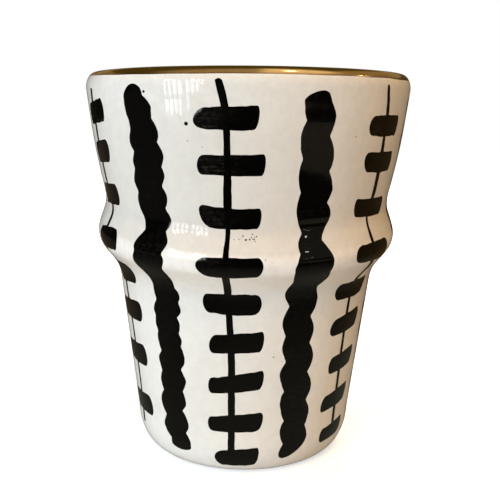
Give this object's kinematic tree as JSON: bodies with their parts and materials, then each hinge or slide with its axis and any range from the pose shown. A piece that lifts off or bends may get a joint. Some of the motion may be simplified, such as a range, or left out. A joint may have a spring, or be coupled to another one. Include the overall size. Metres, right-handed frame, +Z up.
{
  "type": "ceramic drinking cup",
  "caption": "Hand-painted glazed pottery cup: tapered wall, raised ring at mid height, waist and flared gilded lip, with black ladder and scalloped stripes.",
  "frame": {"origin": "on the table, under the middle of the foot", "axes": "+Z up, along the cup's axis from the foot to the mouth; -Y towards the side that the picture shows"},
  "size_m": [0.0806, 0.0808, 0.095],
  "materials": {
    "white_glaze": "glossy off-white tin glaze over pale earthenware",
    "gold_lustre": "bright gold lustre fired on the lip",
    "black_paint": "black brushed slip under a glossy clear glaze"
  },
  "bodies": {
    "root": {"cup_body": "white_glaze", "gold_rim": "gold_lustre", "ladder_stripe_1": "black_paint", "ladder_stripe_2": "black_paint", "ladder_stripe_3": "black_paint", "ladder_stripe_4": "black_paint", "ladder_stripe_5": "black_paint", "ladder_stripe_6": "black_paint", "scalloped_stripe_1": "black_paint", "scalloped_stripe_2": "black_paint", "scalloped_stripe_3": "black_paint", "scalloped_stripe_4": "black_paint", "scalloped_stripe_5": "black_paint", "scalloped_stripe_6": "black_paint"}
  },
  "joints": []
}
